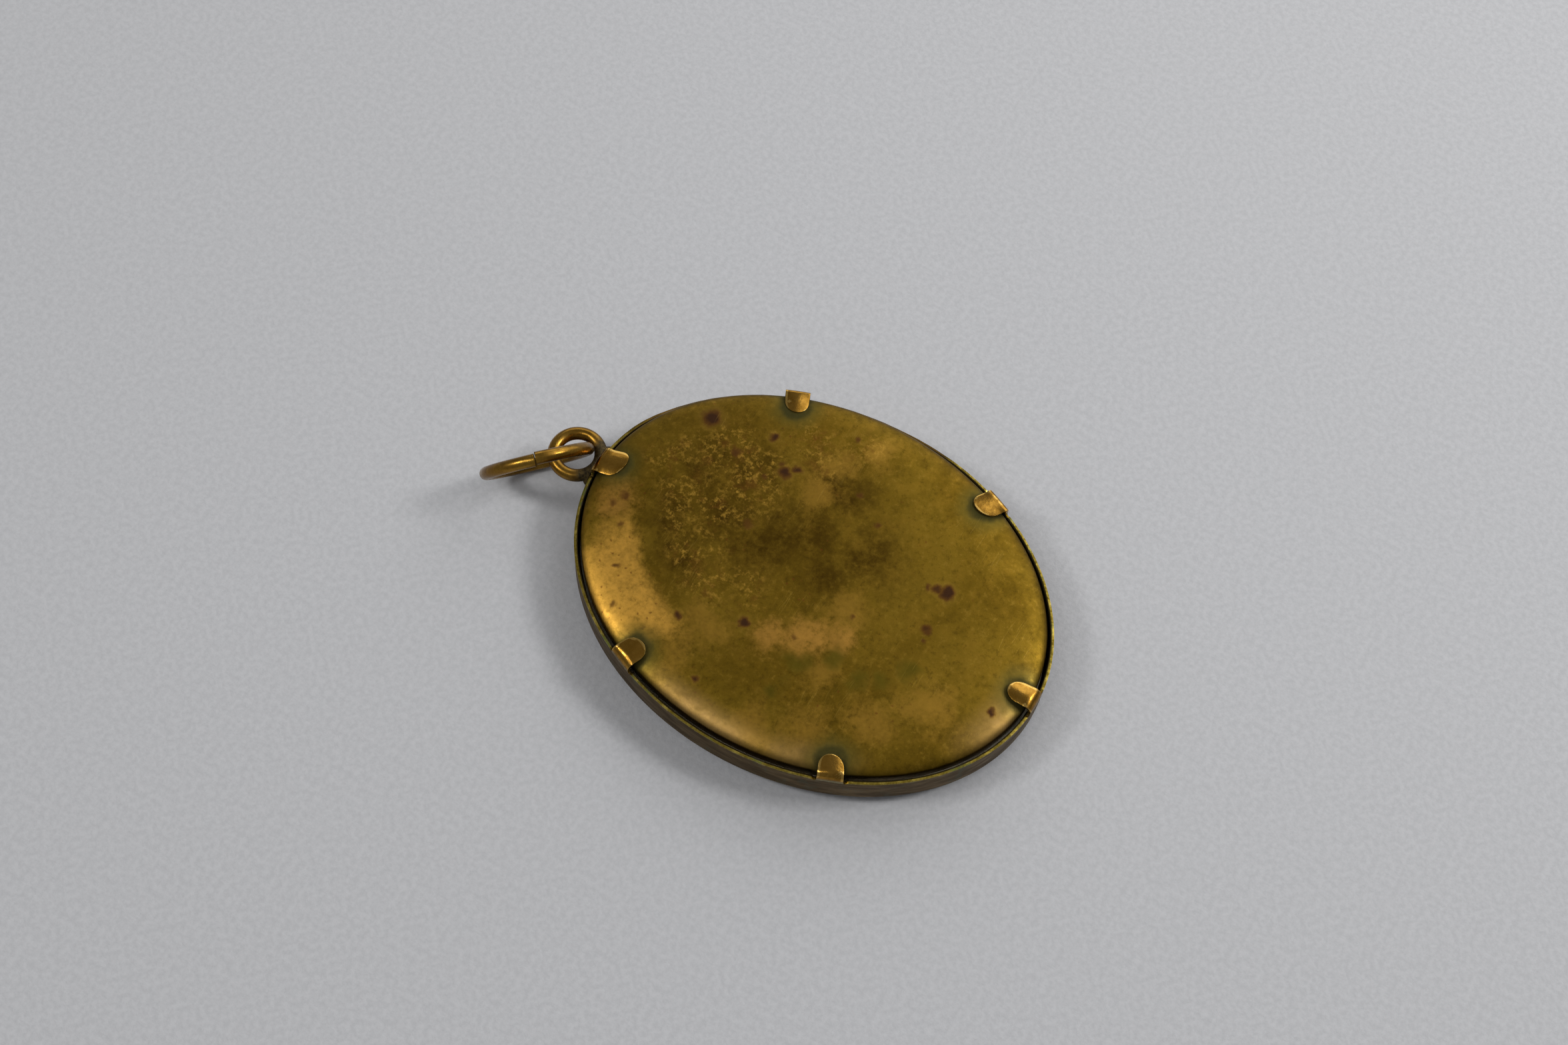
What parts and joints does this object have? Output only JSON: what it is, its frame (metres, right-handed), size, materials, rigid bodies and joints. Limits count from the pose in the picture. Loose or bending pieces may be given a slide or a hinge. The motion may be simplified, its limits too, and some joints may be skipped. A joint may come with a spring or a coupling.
{
  "type": "picture locket pendant",
  "caption": "Oval brass picture locket seen from its back: bezel with six folded tabs, domed back plate, glass front, eye and swinging jump ring.",
  "frame": {"origin": "middle of the small flat on the crown of the front glass, on the surface the locket lies on", "axes": "+Z out of the back plate, +Y along the oval's long axis from the centre to the eye, +X to the right seen from the back with the eye up"},
  "size_m": [0.0326, 0.0502, 0.0092],
  "materials": {
    "aged_brass": "aged, satin, greenish in the corners",
    "plate_brass": "aged, mottled olive and gold patina",
    "wire_brass": "worn smooth, brownish gold",
    "glass": "clear, polished",
    "paper": "matt, yellowed",
    "board": "matt, soft grey-brown"
  },
  "bodies": {
    "locket": {"bezel_frame": "aged_brass", "back_plate": "plate_brass", "front_glass": "glass", "picture_card": "paper", "backing_pad": "board", "eye_ring": "wire_brass"},
    "loose_ring": {"jump_ring": "wire_brass"}
  },
  "joints": [
    {"name": "jump_ring_swing", "type": "hinge", "parent": "locket", "child": "loose_ring", "pos_m": [0.00064, 0.02275, 0.00355], "axis": [0, 0, 1], "range_deg": [-148, 62]}
  ]
}
